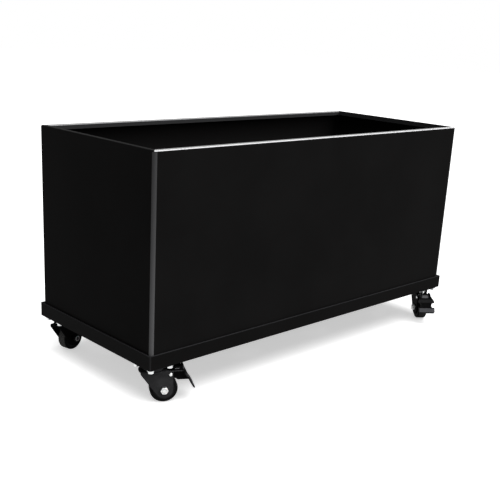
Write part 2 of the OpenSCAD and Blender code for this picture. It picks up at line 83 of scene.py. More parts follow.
class Wire:
    """A number socket whose arithmetic adds Math nodes to its graph."""

    def __init__(self, graph: "Graph", socket: bpy.types.NodeSocket) -> None:
        """Wraps a socket.

        Args:
            graph: The graph that the socket belongs to.
            socket: An output socket that carries a number.
        """
        self.graph = graph
        self.socket = socket

    def maths(self, operation: str, *others: Number, swap: bool = False) -> "Wire":
        """Adds one Math node.

        Args:
            operation: Blender's name of the operation.
            others: The other operands.
            swap: Whether this wire comes last instead of first.

        Returns:
            The node's result.
        """
        operands = [self, *others]
        if swap:
            operands.reverse()
        node = self.graph.node("ShaderNodeMath", {"operation": operation}, dict(enumerate(operands)))
        return Wire(self.graph, node.outputs[0])

    def __add__(self, other: Number) -> "Wire":
        """Sum."""
        return self.maths("ADD", other)

    def __radd__(self, other: float) -> "Wire":
        """Reflected sum."""
        return self.maths("ADD", other, swap=True)

    def __sub__(self, other: Number) -> "Wire":
        """Difference."""
        return self.maths("SUBTRACT", other)

    def __rsub__(self, other: float) -> "Wire":
        """Reflected difference."""
        return self.maths("SUBTRACT", other, swap=True)

    def __mul__(self, other: Number) -> "Wire":
        """Product."""
        return self.maths("MULTIPLY", other)

    def __rmul__(self, other: float) -> "Wire":
        """Reflected product."""
        return self.maths("MULTIPLY", other, swap=True)

    def __pow__(self, other: Number) -> "Wire":
        """Power."""
        return self.maths("POWER", other)

    def __abs__(self) -> "Wire":
        """Distance from zero."""
        return self.maths("ABSOLUTE")

    def least(self, other: Number) -> "Wire":
        """The smaller of the two."""
        return self.maths("MINIMUM", other)

    def most(self, other: Number) -> "Wire":
        """The larger of the two."""
        return self.maths("MAXIMUM", other)

    def step(self, start: float, end: float) -> "Wire":
        """Rises smoothly from 0 at start to 1 at end, or falls where end is the smaller.

        Args:
            start: The value at which the result is 0.
            end: The value at which the result is 1.

        Returns:
            A mask from 0 to 1.
        """
        settings = {"interpolation_type": "SMOOTHSTEP"}
        node = self.graph.node("ShaderNodeMapRange", settings, {0: self, 1: start, 2: end, 3: 0.0, 4: 1.0})
        return Wire(self.graph, node.outputs[0])


class Graph:
    """The node tree of one material or of the world."""

    def __init__(self, tree: bpy.types.NodeTree) -> None:
        """Empties a tree to build in it.

        Args:
            tree: The tree of a material or a world.
        """
        self.tree = tree
        tree.nodes.clear()

    def node(
        self, kind: str, settings: dict[str, object], inputs: dict[Union[str, int], object]
    ) -> bpy.types.Node:
        """Adds a node.

        Args:
            kind: Blender's type name of the node.
            settings: Properties, set before the sockets.
            inputs: Values, wires or sockets, by the socket's name or index.

        Returns:
            The new node.
        """
        made = self.tree.nodes.new(kind)
        for key, value in settings.items():
            setattr(made, key, value)
        for key, value in inputs.items():
            source = value.socket if isinstance(value, Wire) else value
            if isinstance(source, bpy.types.NodeSocket):
                self.tree.links.new(source, made.inputs[key])
            else:
                made.inputs[key].default_value = source
        return made

    def place(self) -> bpy.types.NodeSocket:
        """The point being shaded, in the object's coordinates."""
        return self.node("ShaderNodeTexCoord", {}, {}).outputs["Object"]

    def turned(self, centre: Vector, angle: float) -> bpy.types.NodeSocket:
        """The point being shaded, seen from a centre and turned about Z.

        Args:
            centre: The new origin.
            angle: The direction of the new X axis, in radians from +X.

        Returns:
            A vector socket.
        """
        inputs = {"Vector": self.place(), "Location": tuple(centre), "Rotation": (0.0, 0.0, angle)}
        return self.node("ShaderNodeMapping", {"vector_type": "TEXTURE"}, inputs).outputs[0]

    def squeezed(self, vector: bpy.types.NodeSocket, times: float) -> bpy.types.NodeSocket:
        """Coordinates in which a noise lies in level lines.

        Args:
            vector: The coordinates.
            times: How many times finer the noise becomes along Z.

        Returns:
            A vector socket.
        """
        inputs = {"Vector": vector, "Scale": (1.0, 1.0, times)}
        return self.node("ShaderNodeMapping", {}, inputs).outputs[0]

    def axes(self, vector: bpy.types.NodeSocket) -> tuple[Wire, Wire, Wire]:
        """The three numbers of a vector."""
        outputs = self.node("ShaderNodeSeparateXYZ", {}, {0: vector}).outputs
        return Wire(self, outputs[0]), Wire(self, outputs[1]), Wire(self, outputs[2])

    def noise(
        self, vector: bpy.types.NodeSocket, scale: float, detail: float = 2.0, rough: float = 0.5
    ) -> Wire:
        """Noise of one size of grain.

        Args:
            vector: The coordinates.
            scale: Grains per metre.
            detail: Octaves.
            rough: How strong the finer octaves are.

        Returns:
            A value around 0.5.
        """
        inputs = {"Vector": vector, "Scale": scale, "Detail": detail, "Roughness": rough}
        return Wire(self, self.node("ShaderNodeTexNoise", {}, inputs).outputs[0])

    def blend(self, mask: Number, low: object, high: object) -> bpy.types.NodeSocket:
        """Mixes two colours.

        Args:
            mask: 0 gives the first colour and 1 the second.
            low: The first colour, or a colour socket.
            high: The second colour, or a colour socket.

        Returns:
            A colour socket.
        """
        colours = [(*c, 1.0) if isinstance(c, tuple) else c for c in (low, high)]
        settings = {"data_type": "RGBA", "blend_type": "MIX"}
        return self.node("ShaderNodeMix", settings, {0: mask, 6: colours[0], 7: colours[1]}).outputs[2]

    def bump(self, height: Wire, strength: float, distance: float) -> bpy.types.NodeSocket:
        """A normal bent by a height.

        Args:
            height: The height, from 0 to 1.
            strength: How much of it shows.
            distance: The real height of 1, in metres.

        Returns:
            A normal socket.
        """
        inputs = {"Strength": strength, "Distance": distance, "Height": height}
        return self.node("ShaderNodeBump", {}, inputs).outputs[0]

    def surface(self, inputs: dict[str, object]) -> None:
        """Ends the graph in a Principled shader.

        Args:
            inputs: The shader's sockets by name. A plain colour is three numbers.
        """
        ready = {k: (*v, 1.0) if isinstance(v, tuple) and len(v) == 3 else v for k, v in inputs.items()}
        shader = self.node("ShaderNodeBsdfPrincipled", {}, ready)
        self.node("ShaderNodeOutputMaterial", {}, {"Surface": shader.outputs[0]})


def toned(colour: Colour, factor: float) -> Colour:
    """A colour made darker or lighter by a factor."""
    return tuple(factor * part for part in colour)


# ---- Finishes ----


@dataclass(frozen=True)
class Finish:
    """A surface finish that can be put on pieces."""

    name: str

    def paint(self, graph: Graph) -> None:
        """Builds the finish's nodes.

        Args:
            graph: The new material's graph.
        """
        raise NotImplementedError

    def material(self) -> bpy.types.Material:
        """Makes the material.

        Returns:
            A material with this finish.
        """
        made = bpy.data.materials.new(self.name)
        made.use_nodes = True
        self.paint(Graph(made.node_tree))
        return made


@dataclass(frozen=True)
class Patch:
    """A place on a coat that looks different: its mask, its colour and the weight of a gloss over it."""

    mask: Wire
    tint: Colour
    gloss: float = 0.0


@dataclass(frozen=True)
class PowderCoat(Finish):
    """Satin black powder coat with a fine orange peel, a little dust, and patches of its own."""

    base: Colour = (0.0062, 0.0060, 0.0060)
    rough: float = 0.46
    shine: float = 0.004
    peel: float = 0.25
    peel_grain: float = 900.0
    dust_grain: float = 2600.0
    dust_weight: float = 0.25
    gloss_rough: float = 0.12

    def patches(self, graph: Graph) -> list[Patch]:
        """Where the coat looks different.

        Args:
            graph: The material's graph.

        Returns:
            The patches, each over the ones before it.
        """
        return []

    def paint(self, graph: Graph) -> None:
        """Builds the coat's nodes.

        Args:
            graph: The new material's graph.
        """
        place = graph.place()
        grain = graph.noise(place, self.peel_grain, detail=3.0, rough=0.55)
        cloud = graph.noise(place, 5.0, detail=3.0, rough=0.6)
        dust = graph.noise(place, self.dust_grain, detail=1.0).step(0.66, 0.78)
        colour = graph.blend(cloud.step(0.3, 0.7), toned(self.base, 0.82), self.base)
        colour = graph.blend(dust * self.dust_weight, colour, toned(self.base, 2.2))
        gloss: Number = 0.0
        for patch in self.patches(graph):
            colour = graph.blend(patch.mask, colour, patch.tint)
            if patch.gloss:
                gloss = (patch.mask * patch.gloss).most(gloss)
        graph.surface({
            "Base Color": colour,
            "Roughness": cloud * 0.08 + (self.rough - 0.04),
            "Specular IOR Level": self.shine,
            "Coat Weight": gloss,
            "Coat Roughness": self.gloss_rough,
            "Normal": graph.bump(grain + cloud * 0.5, self.peel, 0.06 * MM),
        })


@dataclass(frozen=True)
class PanCoat(PowderCoat):
    """The floor pan's powder coat, a little duller."""

    rough: float = 0.52


@dataclass(frozen=True)
class WeldCoat(PowderCoat):
    """Powder coat over weld beads, with more of a peel."""

    rough: float = 0.4
    peel: float = 0.4


@dataclass(frozen=True)
class BoxCoat(PowderCoat):
    """The box's powder coat, with painted highlights on its upright corners and the long folds of its rim,
    painted light on the rim's lip, and painted shade inside and on the short folds.
    """

    half: tuple[float, float] = (457.0 * MM, 187.0 * MM)
    top: float = 482.0 * MM
    bottom: float = 82.0 * MM
    corner_r: float = 7.0 * MM
    # Painted shade inside the box: darkest just under the rim, lighter lower down with the deep tint.
    inside_shade_tint: Colour = (0.0024, 0.0023, 0.0023)
    deep_tint: Colour = (0.0072, 0.0070, 0.0070)
    # Painted highlight on the four rounded upright corners.
    bend_highlight_tint: Colour = (0.077, 0.077, 0.079)
    # Painted light on the lip inside the rim.
    lip_light_tint: Colour = (0.026, 0.026, 0.027)
    flat_tint: Colour = (0.0015, 0.0015, 0.0015)
    long_flat_tint: Colour = (0.0045, 0.0045, 0.0045)
    long_flat_gloss: float = 0.9
    # Painted shade on the short folds of the rim.
    short_fold_shade_tint: Colour = (0.0030, 0.0030, 0.0030)
    # Painted highlight on the long folds of the rim.
    long_fold_highlight_tint: Colour = (0.56, 0.56, 0.57)
    mitre_tint: Colour = (0.004, 0.004, 0.004)
    # How strong the corners' painted highlight is at the top and at the foot.
    bend_highlight_weights: tuple[float, float] = (0.54, 1.0)
    # How much weaker the painted highlight is on the inner folds.
    inner_fold_highlight_loss: float = 0.55
    mitre_weight: float = 0.7

    def patches(self, graph: Graph) -> list[Patch]:
        """The inside with painted shade, the four upright bends with painted highlights, and the folds and
        lip of the rim with painted highlights, light and shade.

        Args:
            graph: The material's graph.

        Returns:
            The patches, each over the ones before it.
        """
        x, y, z = graph.axes(graph.place())
        below = self.top - z
        from_end, from_side = self.half[0] - abs(x), self.half[1] - abs(y)
        from_out = from_end.least(from_side)
        # Painted shade: the inside is darker than the outside, darkest under the rim and lighter towards
        # the bottom.
        inside = from_out.step(1.0 * MM, 1.4 * MM) * below.step(3.0 * MM, 4.0 * MM)
        depth = below.step(14.0 * MM, 85.0 * MM)

        # Painted highlight on the four upright bends, stronger towards the foot.
        at_top, at_foot = self.bend_highlight_weights
        radius = ((self.corner_r - from_end) ** 2 + (self.corner_r - from_side) ** 2) ** 0.5
        bend = from_end.step(7.8 * MM, 7.4 * MM) * from_side.step(5.5 * MM, 4.9 * MM)
        bend = bend * radius.step(6.0 * MM, 6.6 * MM) * below.step(2.4 * MM, 3.4 * MM)
        bend = bend * (at_top + (at_foot - at_top) * (1 - z.step(self.bottom, self.top)))

        long_side = (from_end - from_side).step(-0.2 * MM, 0.2 * MM)
        # Painted light on the lip that turns down inside the rim.
        lip = below.step(11.5 * MM, 10.0 * MM) * from_out.step(10.0 * MM, 11.0 * MM)
        flat = below.step(0.2 * MM, 0.05 * MM)
        # Painted highlight on the long folds, weaker on the inner folds; the short folds are painted
        # darker, as painted shade.
        fold = below.step(2.1 * MM, 1.5 * MM) * (1 - flat)
        facing = 1 - self.inner_fold_highlight_loss * from_out.step(7.0 * MM, 9.0 * MM)
        mitre = abs(from_end - from_side).step(0.5 * MM, 0.2 * MM) * below.step(3.2 * MM, 2.6 * MM)
        return [
            Patch(inside, self.inside_shade_tint),
            Patch(inside * depth, self.deep_tint),
            Patch(bend, self.bend_highlight_tint),
            Patch(lip, self.lip_light_tint),
            Patch(flat, self.flat_tint),
            Patch(flat * long_side, self.long_flat_tint, self.long_flat_gloss),
            Patch(fold * (1 - long_side), self.short_fold_shade_tint),
            Patch(fold * long_side * facing, self.long_fold_highlight_tint),
            Patch(mitre * self.mitre_weight, self.mitre_tint),
        ]


@dataclass(frozen=True)
class RailCoat(PowderCoat):
    """The tray's powder coat, with a painted highlight along the rails' tops and outer corners."""

    base: Colour = (0.0056, 0.0054, 0.0054)
    half: tuple[float, float] = (461.7 * MM, 191.7 * MM)
    top: float = 108.0 * MM
    end_tint: Colour = (0.0105, 0.0103, 0.0103)
    # Painted highlight tints for the rails' top edges and outer corners.
    rim_tint: Colour = (0.017, 0.017, 0.018)
    corner_tint: Colour = (0.018, 0.018, 0.019)
    corner_weight: float = 0.6

    def patches(self, graph: Graph) -> list[Patch]:
        """The end rails' paler faces, and painted highlights on the top edges and the four mitred corners.

        Args:
            graph: The material's graph.

        Returns:
            The patches, each over the ones before it.
        """
        x, y, z = graph.axes(graph.place())
        from_end, from_side = self.half[0] - abs(x), self.half[1] - abs(y)
        end = from_end.step(0.8 * MM, 0.4 * MM)
        # Painted highlight along the rails' top edges and on their four outer corners.
        rim = (self.top - z).step(1.2 * MM, 0.6 * MM)
        corner = from_end.step(3.0 * MM, 2.0 * MM) * from_side.step(3.0 * MM, 2.0 * MM)
        return [
            Patch(end, self.end_tint),
            Patch(rim, self.rim_tint),
            Patch(corner * self.corner_weight, self.corner_tint),
        ]


@dataclass(frozen=True)
class PressedSteel(Finish):
    """Thin black coat on pressed steel, with scuffs, a slight press grain and patches of its own."""

    # The default base is the lit tone: painted light on the front-left fork, which faces the front light.
    base: Colour = (0.030, 0.030, 0.0312)
    rough: float = 0.42
    shine: float = 0.02
    scuff_weight: float = 0.35

    def patches(self, graph: Graph) -> list[Patch]:
        """Where the coat looks different.

        Args:
            graph: The material's graph.

        Returns:
            The patches, each over the ones before it.
        """
        return []

    def paint(self, graph: Graph) -> None:
        """Builds the coat's nodes.

        Args:
            graph: The new material's graph.
        """
        place = graph.place()
        cloud = graph.noise(place, 60.0, detail=4.0, rough=0.6)
        scuff = graph.noise(graph.squeezed(place, 6.0), 240.0, detail=5.0, rough=0.7).step(0.60, 0.72)
        pits = graph.noise(place, 1500.0, detail=2.0)
        colour = graph.blend(cloud.step(0.35, 0.65), toned(self.base, 0.7), self.base)
        colour = graph.blend(scuff * self.scuff_weight, colour, toned(self.base, 2.6))
        for patch in self.patches(graph):
            colour = graph.blend(patch.mask * (0.55 + 0.45 * cloud), colour, patch.tint)
        graph.surface({
            "Base Color": colour,
            "Roughness": self.rough + cloud * 0.12 + scuff * 0.08,
            "Specular IOR Level": self.shine,
            "Normal": graph.bump(pits * 0.6 + cloud * 0.4, 0.3, 0.08 * MM),
        })


@dataclass(frozen=True)
class ShadedForkSteel(PressedSteel):
    """The same coat, darker and duller: painted shade, for the forks that stand in shade."""

    base: Colour = (0.0042, 0.0042, 0.0044)
    shine: float = 0.006


@dataclass(frozen=True)
class PedalCoat(PressedSteel):
    """A foot pedal's darker coat, with painted highlights across its face, on its ear and in two lines
    along the cheeks, and a foot plate both worn and painted lighter.
    """

    base: Colour = (0.0024, 0.0024, 0.0025)
    rough: float = 0.36
    shine: float = 0.012
    pivot: Vector = Vector()
    angle: float = 0.0
    # Painted highlight tints on the face, ear and cheeks; the tread tint is wear and painted light
    # together.
    face_highlight_tint: Colour = (0.014, 0.014, 0.0145)
    ear_highlight_tint: Colour = (0.110, 0.110, 0.114)
    tread_and_light_tint: Colour = (0.085, 0.085, 0.092)
    rim_tint: Colour = (0.020, 0.020, 0.021)
    long_highlight_tint: Colour = (0.090, 0.090, 0.094)
    short_highlight_tint: Colour = (0.220, 0.220, 0.226)

    def patches(self, graph: Graph) -> list[Patch]:
        """The bend of the face and the ear that is pushed back, with painted highlights; the foot plate,
        worn and painted lighter; the side edges; and two painted highlight lines along the cheeks.

        The measures are from the pivot, with X towards the foot plate.

        Args:
            graph: The material's graph.

        Returns:
            The patches, each over the ones before it.
        """
        x, y, z = graph.axes(graph.turned(self.pivot, self.angle))
        side = abs(y)
        # Painted highlight across the bend of the face, a band at the pivot's height.
        face_highlight = z.step(-5.0 * MM, -2.0 * MM) * z.step(5.0 * MM, 2.0 * MM) * x.step(25.0 * MM, 27.0 * MM)
        # Painted highlight on the ear that is pushed back.
        ear = z.step(5.5 * MM, 8.5 * MM) * z.step(15.0 * MM, 11.5 * MM)
        ear = ear * abs(y + 3.5 * MM).step(10.0 * MM, 5.0 * MM) * x.step(23.0 * MM, 25.0 * MM)
        # The foot plate: worn, and painted lighter where it faces the light.
        tread = z.step(-15.5 * MM, -16.8 * MM) * z.step(-25.5 * MM, -24.0 * MM)
        tread = tread * side.step(19.6 * MM, 18.0 * MM) * x.step(29.0 * MM, 31.0 * MM)
        rim = side.step(18.8 * MM, 19.6 * MM)
        cheek = side.step(11.5 * MM, 11.8 * MM) * side.step(13.0 * MM, 12.7 * MM)
        # Two painted highlight lines along the cheeks.
        long_line = abs(z - 6.2 * MM).step(0.6 * MM, 0.3 * MM)
        long_line = long_line * x.step(4.0 * MM, 6.0 * MM) * x.step(26.0 * MM, 24.0 * MM)
        short_line = abs(z - 11.2 * MM).step(0.6 * MM, 0.3 * MM)
        short_line = short_line * x.step(8.0 * MM, 9.0 * MM) * x.step(17.0 * MM, 16.0 * MM)
        return [
            Patch(face_highlight, self.face_highlight_tint),
            Patch(ear, self.ear_highlight_tint),
            Patch(tread, self.tread_and_light_tint),
            Patch(rim, self.rim_tint),
            Patch(long_line * cheek, self.long_highlight_tint),
            Patch(short_line * cheek, self.short_highlight_tint),
        ]


@dataclass(frozen=True)
class Metal(Finish):
    """Bare or plated metal with fine lines and a cloudy tint. The defaults are bright zinc."""

    base: Colour = (0.86, 0.87, 0.88)
    shade: Colour = (0.70, 0.71, 0.70)
    rough: float = 0.24
    lines: float = 900.0

    def paint(self, graph: Graph) -> None:
        """Builds the metal's nodes.

        Args:
            graph: The new material's graph.
        """
        place = graph.place()
        cloud = graph.noise(place, 130.0, detail=3.0, rough=0.6).step(0.3, 0.7)
        line = graph.noise(graph.squeezed(place, 9.0), self.lines)
        graph.surface({
            "Base Color": graph.blend(cloud, self.shade, self.base),
            "Metallic": 1.0,
            "Roughness": self.rough + cloud * 0.08 + line * 0.06,
            "Normal": graph.bump(line, 0.2, 0.04 * MM),
        })


@dataclass(frozen=True)
class DarkAxleMetal(Metal):
    """Dark metal, as on the back casters' axles."""

    base: Colour = (0.020, 0.020, 0.021)
    shade: Colour = (0.012, 0.012, 0.013)
    rough: float = 0.4


@dataclass(frozen=True)
class BallSteel(Metal):
    """Polished steel, nearly without lines."""

    rough: float = 0.12
    lines: float = 60.0


@dataclass(frozen=True)
class SpringSteel(Metal):
    """Plain spring steel, greyer than zinc."""

    base: Colour = (0.45, 0.46, 0.48)
    shade: Colour = (0.30, 0.31, 0.33)
    rough: float = 0.32


@dataclass(frozen=True)
class TyreRubber(Finish):
    """A smooth tyre with a parting line, moulded rings on its sides and dust on its tread."""

    centre: Vector = Vector()
    angle: float = 0.0
    radius: float = 27.0 * MM
    width: float = 22.0 * MM
    clean: Colour = (0.0060, 0.0060, 0.0062)
    # The tread's dust colour; on the back tyres it also carries painted light.
    dust_and_light: Colour = (0.060, 0.059, 0.058)
    ring_rate: float = 2600.0

    def paint(self, graph: Graph) -> None:
        """Builds the tyre's nodes round the wheel's own axle.

        Args:
            graph: The new material's graph.
        """
        here = graph.turned(self.centre, self.angle)
        x, y, z = graph.axes(here)
        reach = (x * x + z * z) ** 0.5
        side = abs(y)
        tread = reach.step(self.radius - 2.2 * MM, self.radius - 0.4 * MM) * side.step(9.5 * MM, 7.0 * MM)
        parting = side.step(0.5 * MM, 0.2 * MM) * tread
        rings = (reach * self.ring_rate).maths("SINE") * side.step(self.width * 0.47, self.width * 0.495)
        dust = graph.noise(here, 900.0, detail=5.0, rough=0.6)
        graph.surface({
            "Base Color": graph.blend(tread * dust.step(0.30, 0.78), self.clean, self.dust_and_light),
            "Roughness": 0.5 + dust * 0.2 + tread * 0.08,
            "Specular IOR Level": 0.02,
            "Normal": graph.bump(parting + rings * 0.25 + dust * 0.3, 0.6, 0.15 * MM),
        })


@dataclass(frozen=True)
class PaleTyre(TyreRubber):
    """A tyre with more dust on its tread, and painted light on it as well."""

    # Dust and painted light together: the back tyres' treads are painted paler.
    dust_and_light: Colour = (0.150, 0.148, 0.145)


@dataclass(frozen=True)
class MouldedPlastic(Finish):
    """Black moulded plastic with rings that follow the mould, seen from an axle."""

    centre: Vector = Vector()
    angle: float = 0.0
    base: Colour = (0.013, 0.013, 0.0135)
    ring_rate: float = 3800.0
    ring_waver: float = 0.6 * MM

    def paint(self, graph: Graph) -> None:
        """Builds the plastic's nodes round the given axle.

        Args:
            graph: The new material's graph.
        """
        here = graph.turned(self.centre, self.angle)
        x, _, z = graph.axes(here)
        reach = (x * x + z * z) ** 0.5
        swirl = graph.noise(here, 90.0, detail=3.0)
        rings = ((reach + swirl * self.ring_waver) * self.ring_rate).maths("SINE") * 0.5 + 0.5
        frost = graph.noise(here, 2400.0)
        graph.surface({
            "Base Color": graph.blend(swirl.step(0.4, 0.6), self.base, toned(self.base, 1.5)),
            "Roughness": 0.42 + frost * 0.14,
            "Specular IOR Level": 0.04,
            "Normal": graph.bump(frost * 0.5 + rings * 0.25, 0.35, 0.08 * MM),
        })


@dataclass(frozen=True)
class ShoePlastic(MouldedPlastic):
    """The brake shoe's plastic, greyer than a wheel's."""

    base: Colour = (0.03, 0.03, 0.031)


@dataclass(frozen=True)
class Nylon(Finish):
    """Milky nylon, as in the collar of a lock nut."""

    base: Colour = (0.72, 0.73, 0.70)

    def paint(self, graph: Graph) -> None:
        """Builds the nylon's nodes.

        Args:
            graph: The new material's graph.
        """
        haze = graph.noise(graph.place(), 700.0, detail=3.0, rough=0.6)
        graph.surface({
            "Base Color": graph.blend(haze, toned(self.base, 0.85), self.base),
            "Roughness": 0.38 + haze * 0.15,
            "Subsurface Weight": 0.1,
            "Subsurface Scale": 1.0 * MM,
            "Normal": graph.bump(haze, 0.2, 0.05 * MM),
        })


# ---- Workbench ----


class Bench:
    """Modelling with Blender's own operators, one piece at a time."""

    @staticmethod
    def clear() -> None:
        """Leaves edit mode and deselects everything."""
        if bpy.context.object and bpy.context.object.mode != "OBJECT":
            bpy.ops.object.mode_set(mode="OBJECT")
        bpy.ops.object.select_all(action="DESELECT")

    @staticmethod
    def rod(name: str, radius: float, length: float, sides: int) -> bpy.types.Object:
        """Starts a piece from a round rod that stands on the origin along +Z.

        Args:
            name: The piece's name.
            radius: The rod's radius.
            length: The rod's length.
            sides: Sides of the rod.

        Returns:
            The new object, selected and active.
        """
        Bench.clear()
        bpy.ops.mesh.primitive_cylinder_add(
            vertices=sides, radius=radius, depth=length, location=(0.0, 0.0, length / 2)
        )
        bpy.ops.object.transform_apply(location=True, rotation=True, scale=True)
        piece = bpy.context.object
        piece.name = name
        piece.data.name = name
        return piece

    @staticmethod
    def start_picking(kind: str) -> None:
        """Deselects the active piece's mesh and leaves edit mode, so that code can select.

        Args:
            kind: FACE or EDGE, for what is selected next.
        """
        bpy.ops.object.mode_set(mode="EDIT")
        bpy.ops.mesh.select_mode(type=kind)
        bpy.ops.mesh.select_all(action="DESELECT")
        bpy.ops.object.mode_set(mode="OBJECT")

    @staticmethod
    def pick_faces(piece: bpy.types.Object, wanted: Callable[[Vector, Vector], bool]) -> None:
        """Selects faces by their middle and normal, and stays in edit mode.

        Args:
            piece: The active object.
            wanted: Says of a middle and a normal whether the face is taken.
        """
        Bench.start_picking("FACE")
        for face in piece.data.polygons:
            face.select = wanted(face.center, face.normal)
        bpy.ops.object.mode_set(mode="EDIT")

    @staticmethod
    def pick_edges(piece: bpy.types.Object, wanted: Callable[[Vector, Vector], bool]) -> None:
        """Selects edges by their two ends, and stays in edit mode.

        Args:
            piece: The active object.
            wanted: Says of the two ends whether the edge is taken.
        """
        Bench.start_picking("EDGE")
        vertices = piece.data.vertices
        for edge in piece.data.edges:
            edge.select = wanted(vertices[edge.vertices[0]].co, vertices[edge.vertices[1]].co)
        bpy.ops.object.mode_set(mode="EDIT")

    @staticmethod
    def settle(piece: bpy.types.Object, where: Matrix, smooth: float = 35.0) -> None:
        """Puts a piece in its place, with the place in its mesh, and shades it.

        Args:
            piece: The piece, modelled about the origin.
            where: Its place in the frame.
            smooth: The angle in degrees under which faces are shaded as one.
        """
        Bench.clear()
        piece.select_set(True)
        bpy.context.view_layer.objects.active = piece
        piece.matrix_world = where
        bpy.ops.object.transform_apply(location=True, rotation=True, scale=True)
        bpy.ops.object.mode_set(mode="EDIT")
        bpy.ops.mesh.select_all(action="SELECT")
        bpy.ops.mesh.normals_make_consistent(inside=False)
        bpy.ops.object.mode_set(mode="OBJECT")
        bpy.ops.object.shade_smooth_by_angle(angle=math.radians(smooth))
        Bench.clear()

    @staticmethod
    def copy(piece: bpy.types.Object, name: str) -> bpy.types.Object:
        """Copies a piece with a mesh of its own.

        Args:
            piece: The piece to copy.
            name: The copy's name.

        Returns:
            The copy.
        """
        twin = piece.copy()
        twin.data = piece.data.copy()
        twin.name = name
        twin.data.name = name
        bpy.context.scene.collection.objects.link(twin)
        return twin

    @staticmethod
    def coat(pieces: Iterable[bpy.types.Object], material: bpy.types.Material) -> None:
        """Gives pieces one material, in place of what they had.

        Args:
            pieces: New pieces or CAD nodes.
            material: The material.
        """
        for piece in pieces:
            if not piece.material_slots:
                piece.data.materials.append(material)
            for slot in piece.material_slots:
                slot.material = material


def along(axis: Vector, origin: Vector) -> Matrix:
    """A placing that takes +Z to an axis.

    Args:
        axis: The direction that +Z takes.
        origin: Where the origin goes.

    Returns:
        The placing's matrix.
    """
    return Matrix.Translation(origin) @ axis.to_track_quat("Z", "Y").to_matrix().to_4x4()


# ---- Sub-assemblies ----


@dataclass
class PlanterBox:
    """The folded box and its floor pan."""

    nodes: dict[str, bpy.types.Object]

    def dress(self) -> list[str]:
        """Coats the walls and the pan.

        Returns:
            The names of the pieces that were dressed.
        """
        low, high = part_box("planter_walls")
        coat = BoxCoat("BoxPowderCoat", half=(high.x, high.y), top=high.z, bottom=low.z)
        Bench.coat([self.nodes["planter_walls"]], coat.material())
        Bench.coat([self.nodes["floor_pan"]], PanCoat("PanPowderCoat").material())
        return ["planter_walls", "floor_pan"]


@dataclass
class Tray:
    """The rails, gussets and cross bars, with the bars' weld beads."""

    nodes: dict[str, bpy.types.Object]
    body: str = "tray"
    bead_r: float = 1.7 * MM
    bead_proud: float = 0.4 * MM
    ripples: int = 14
    waist: float = 0.84
    tip: float = 0.55

    def bead(self, length: float) -> bpy.types.Object:
        """Models one rippled weld bead along +Z.

        Args:
            length: The bead's length.

        Returns:
            The bead, about the origin.
        """
        bead = Bench.rod("bar_weld", self.bead_r, length, sides=12)
        Bench.pick_edges(bead, lambda a, b: abs(a.z - b.z) > length / 2)
        bpy.ops.mesh.subdivide(number_cuts=2 * self.ripples - 1)
        pitch = length / (2 * self.ripples)
        for k in range(0, 2 * self.ripples + 1, 2):
            Bench.pick_edges(bead, lambda a, b, z=k * pitch: max(abs(a.z - z), abs(b.z - z)) < pitch / 4)
            shrink = self.tip if k in (0, 2 * self.ripples) else self.waist
            bpy.ops.transform.resize(value=(shrink, shrink, 1.0), center_override=(0.0, 0.0, k * pitch))
        bpy.ops.object.mode_set(mode="OBJECT")
        return bead

    def weld(self, finish: bpy.types.Material) -> list[bpy.types.Object]:
        """Lays a bead below each end of both cross bars.

        Args:
            finish: The beads' material.

        Returns:
            The four beads.
        """
        low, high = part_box("cross_bars")
        places = [v.co.x for v in self.nodes["cross_bars"].data.vertices]
        left_bar_end = max(x for x in places if x < 0)
        right_bar_start = min(x for x in places if x > 0)
        first = self.bead(left_bar_end - low.x)
        beads = []
        for start, name in ((low.x, "left"), (right_bar_start, "right")):
            for y, side in ((low.y, "front"), (high.y, "back")):
                piece = Bench.copy(first, f"bar_weld_{side}_{name}")
                origin = Vector((start, y, low.z + self.bead_proud))
                Bench.settle(piece, along(Vector((1.0, 0.0, 0.0)), origin))
                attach(piece, self.body)
                beads.append(piece)
        bpy.data.objects.remove(first)
        Bench.coat(beads, finish)
        return beads

    def dress(self) -> list[str]:
        """Coats the tray and adds its welds.

        Returns:
            The names of the pieces that were dressed or made.
        """
        low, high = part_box("front_rail")
        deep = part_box("right_rail")[1]
        coat = RailCoat("RailPowderCoat", half=(high.x, -low.y), top=deep.z)
        rails = ["front_rail", "back_rail", "left_rail", "right_rail", "corner_gussets", "cross_bars"]
        Bench.coat([self.nodes[name] for name in rails], coat.material())
        fittings = ["plate_studs", "plate_washers", "plate_nuts"]
        Bench.coat([self.nodes[name] for name in fittings], Metal("PlateZinc").material())
        beads = self.weld(WeldCoat("WeldPowderCoat").material())
        return rails + fittings + [bead.name for bead in beads]


